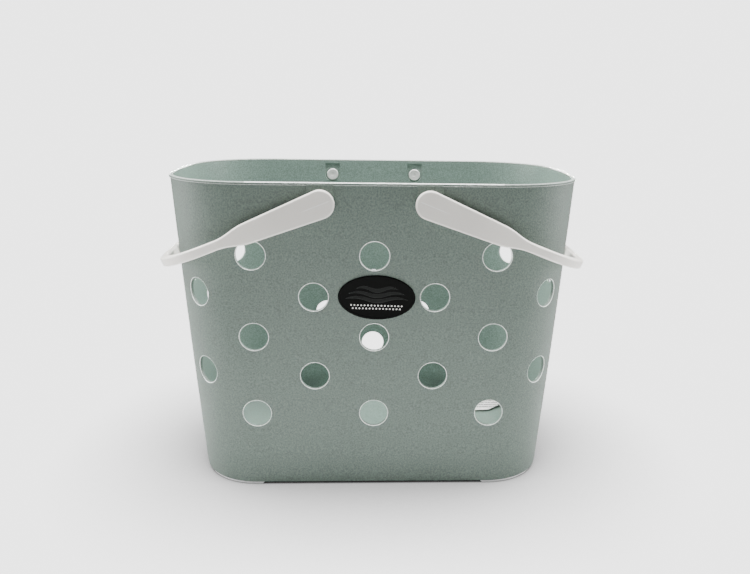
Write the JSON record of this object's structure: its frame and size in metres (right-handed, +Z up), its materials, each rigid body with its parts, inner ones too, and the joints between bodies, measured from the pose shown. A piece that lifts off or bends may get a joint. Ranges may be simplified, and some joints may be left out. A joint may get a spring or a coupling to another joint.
{
  "type": "shower caddy",
  "caption": "Tapered plastic tub with round drain holes in its wall and two swinging U-shaped carrying handles that rest on its ends.",
  "frame": {"origin": "on the surface that the caddy stands on, under the middle of the tub", "axes": "+X along the tub towards the right handle's grip, +Y from the badged front to the rear, +Z up"},
  "size_m": [0.2998, 0.186, 0.22],
  "materials": {
    "tub_plastic": "fine grained matte, sage green",
    "handle_plastic": "smooth satin, off-white",
    "button_plastic": "smooth satin, white",
    "badge_gloss": "high gloss, black",
    "tag_paper": "printed white card"
  },
  "bodies": {
    "tub_body": {"tub": "tub_plastic", "badge": "badge_gloss", "paper_tag": "tag_paper"},
    "right_handle_body": {"right_handle": "handle_plastic", "front_right_pivot_button": "button_plastic", "rear_right_pivot_button": "button_plastic"},
    "left_handle_body": {"left_handle": "handle_plastic", "front_left_pivot_button": "button_plastic", "rear_left_pivot_button": "button_plastic"}
  },
  "joints": [
    {"name": "right_handle_swing", "type": "hinge", "parent": "tub_body", "child": "right_handle_body", "pos_m": [0.0354, 0, 0.2073], "axis": [0, -1, 0], "range_deg": [0, 127]},
    {"name": "left_handle_swing", "type": "hinge", "parent": "tub_body", "child": "left_handle_body", "pos_m": [-0.0354, 0, 0.2073], "axis": [0, 1, 0], "range_deg": [0, 127]}
  ]
}
